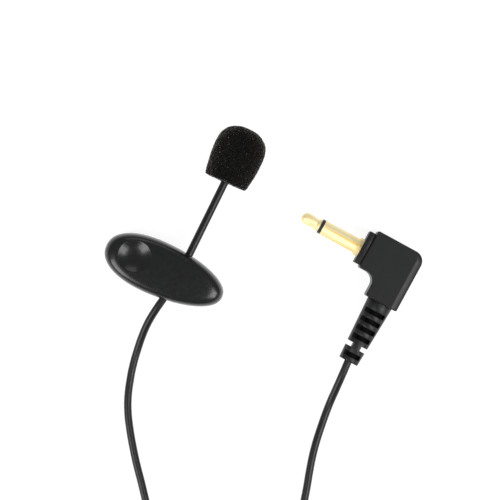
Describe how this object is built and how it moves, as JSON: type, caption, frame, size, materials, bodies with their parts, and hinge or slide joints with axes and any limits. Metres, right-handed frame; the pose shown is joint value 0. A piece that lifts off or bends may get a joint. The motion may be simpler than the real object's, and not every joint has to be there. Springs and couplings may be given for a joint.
{
  "type": "lavalier microphone",
  "caption": "Clip-on lavalier microphone: foam windscreen on a small capsule head, egg-shaped sprung clip, thin coiled cable and a right-angle 3.5 mm mono plug.",
  "frame": {"origin": "middle of the clip's flat back, on the surface the microphone lies on", "axes": "+Y along the microphone towards the windscreen, +X along the clip towards its jaws, +Z out of the clip's face"},
  "size_m": [0.0708, 0.1131, 0.0121],
  "materials": {
    "foam": "open-cell foam",
    "felt": "felt",
    "black_plastic": "satin",
    "white_plastic": "satin",
    "black_metal": "matt black",
    "can_aluminium": "satin",
    "brass": "satin",
    "board_green": "solder mask",
    "red_wire": "satin",
    "copper": "bright",
    "black_rubber": "matt",
    "cable_jacket": "glossy",
    "clip_plastic": "semi-gloss",
    "steel": "bright",
    "gold": "polished gold plate",
    "inner_mould": "satin",
    "plug_rubber": "satin moulded"
  },
  "bodies": {
    "microphone": {"capsule_housing": "black_plastic", "front_grille": "black_metal", "felt_disc": "felt", "electret_can": "can_aluminium", "diaphragm": "brass", "backplate": "brass", "backplate_holder": "white_plastic", "circuit_board": "board_green", "preamp_chip": "black_plastic", "signal_wire": "red_wire", "shield_wire": "copper", "cable_boot": "black_rubber", "stem_cable": "cable_jacket", "cord_to_coil": "cable_jacket", "cord_coil": "cable_jacket", "cord_tie": "black_rubber", "cord_to_plug": "cable_jacket", "plug_tip": "gold", "plug_insulator_ring": "black_plastic", "plug_insulator_tube": "black_plastic", "plug_sleeve": "gold", "plug_collar": "gold", "plug_inner_mould": "inner_mould", "plug_tip_lug": "brass", "plug_sleeve_lug": "brass", "plug_signal_wire": "red_wire", "plug_shield_wire": "copper", "plug_cable_end": "cable_jacket", "plug_body": "plug_rubber", "strain_relief": "plug_rubber"},
    "windscreen": {"foam_windscreen": "foam"},
    "clip_front": {"clip_front_shell": "clip_plastic", "hinge_pin": "steel", "torsion_spring": "steel"},
    "clip_rear": {"clip_rear_jaw": "clip_plastic"}
  },
  "joints": [
    {"name": "windscreen_slide", "type": "slide", "parent": "microphone", "child": "windscreen", "axis": [0, 1, 0], "range_m": [0, 0.012]},
    {"name": "clip_slide", "type": "slide", "parent": "microphone", "child": "clip_front", "axis": [0.0336, 0.9994, 0], "range_m": [0, 0.014]},
    {"name": "jaw_hinge", "type": "hinge", "parent": "clip_front", "child": "clip_rear", "pos_m": [-0.0015, 0, 0.0044], "axis": [0, 1, 0], "range_deg": [0, 12], "stiffness_Nm_per_rad": 0.03, "springref_deg": -28.65, "deforming": ["torsion_spring"]}
  ]
}
